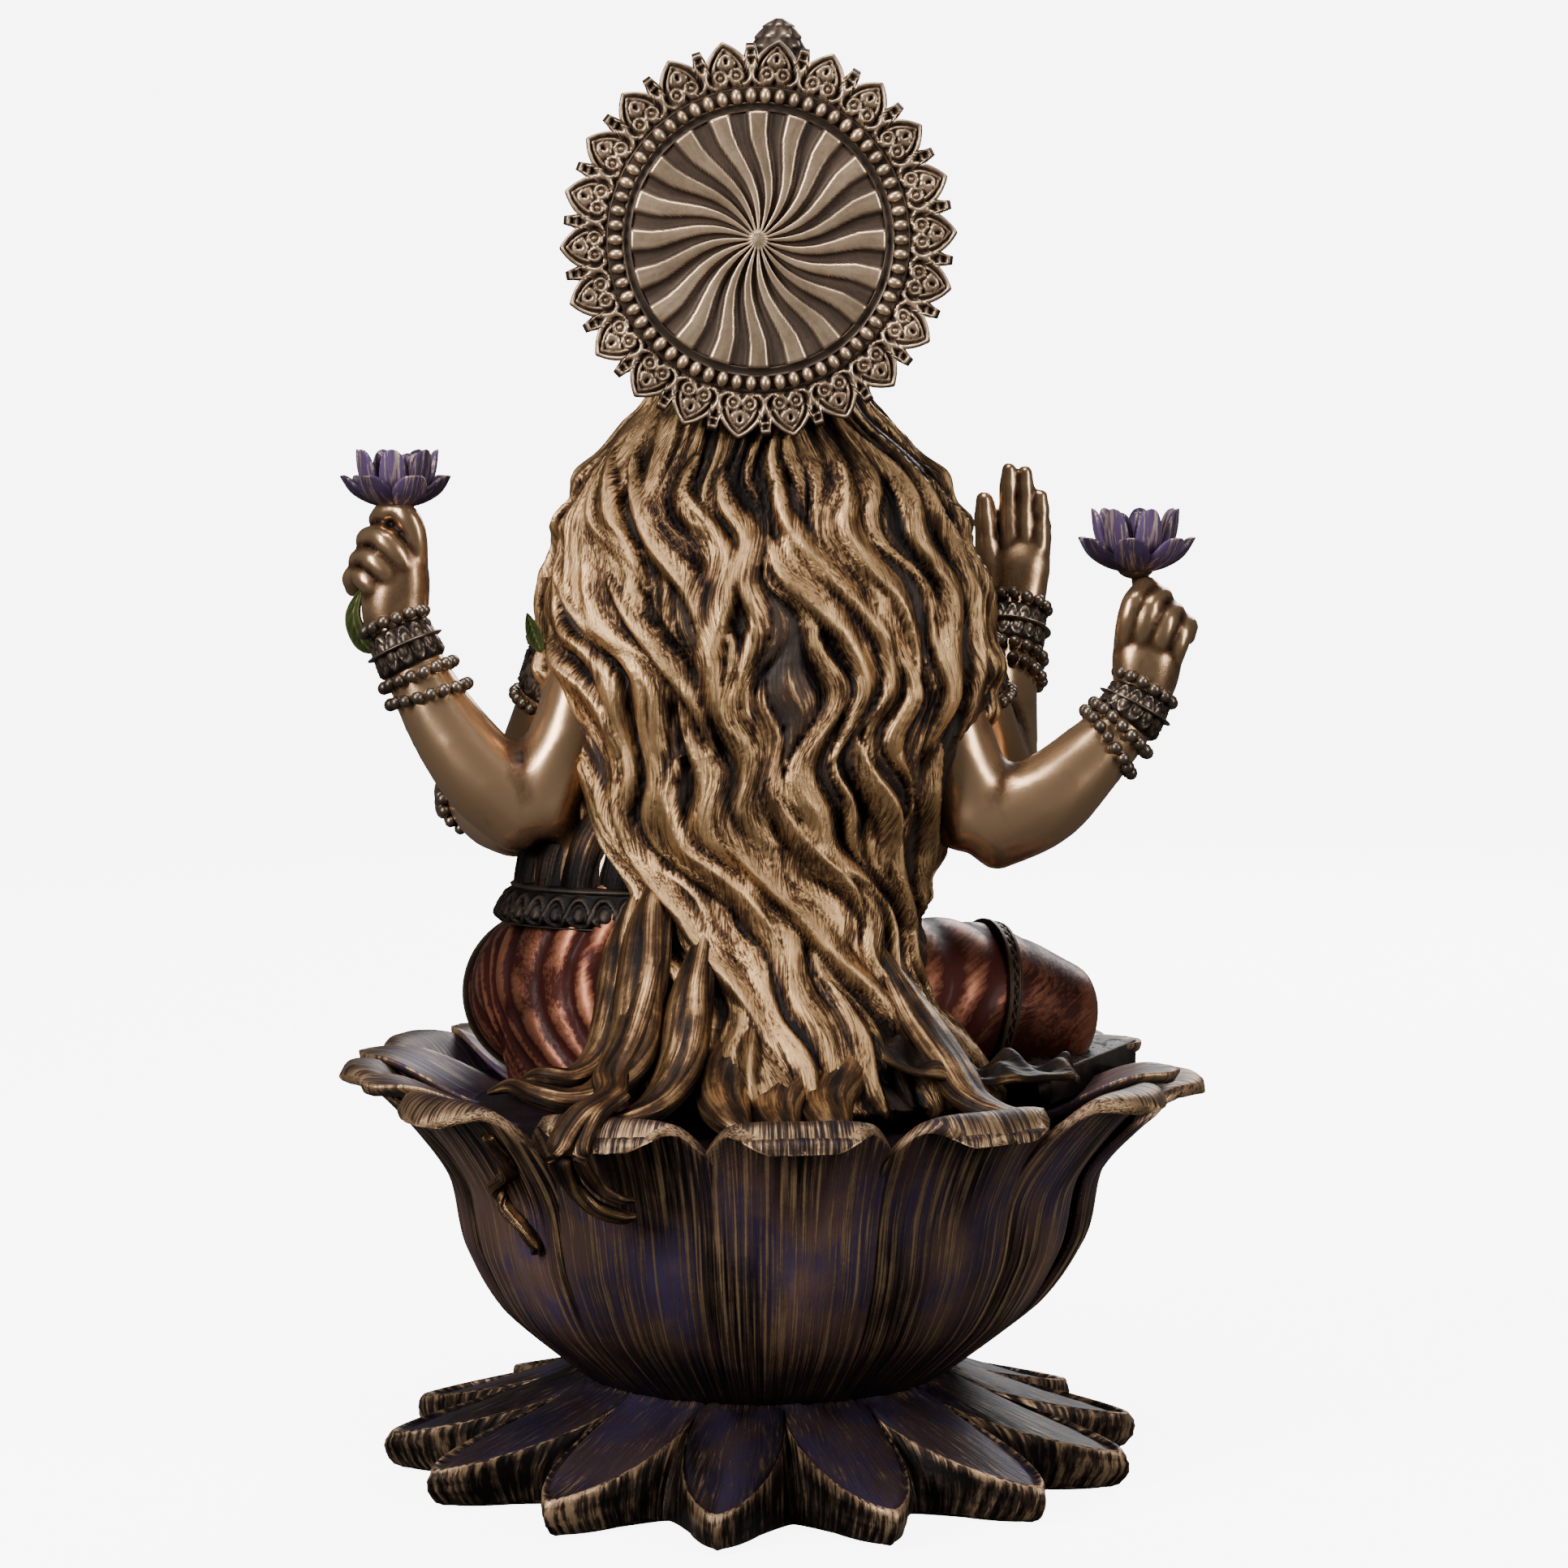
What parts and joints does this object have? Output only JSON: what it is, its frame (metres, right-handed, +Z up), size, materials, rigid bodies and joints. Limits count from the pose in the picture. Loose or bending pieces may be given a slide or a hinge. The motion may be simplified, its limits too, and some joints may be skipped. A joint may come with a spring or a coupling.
{
  "type": "lakshmi figure",
  "caption": "Seated many-armed goddess statuette with long wavy hair, tall crown and rayed halo disc, cross-legged on a lotus throne with spreading foot petals.",
  "frame": {"origin": "middle of the flat underside of the foot petals", "axes": "+Z up, -Y the way the goddess faces, +X to her left"},
  "size_m": [0.1455, 0.1342, 0.2403],
  "materials": {
    "petal_purple": "cold-cast bronze resin, hand painted dark purple-brown with bronze rubbed over the raised strokes",
    "bronze_patina": "cold-cast bronze resin, dark brown patina in the hollows and rubbed bronze on the ridges, satin",
    "pale_bronze": "cold-cast bronze resin, pale rubbed bronze over dark grounds, satin",
    "red_cloth": "painted deep red over the folds of the robe, semi-gloss",
    "leaf_green": "painted olive green over bronze, satin"
  },
  "bodies": {
    "root": {"lotus_throne": "petal_purple", "goddess_figure": "bronze_patina", "halo_disc": "pale_bronze"}
  },
  "joints": []
}
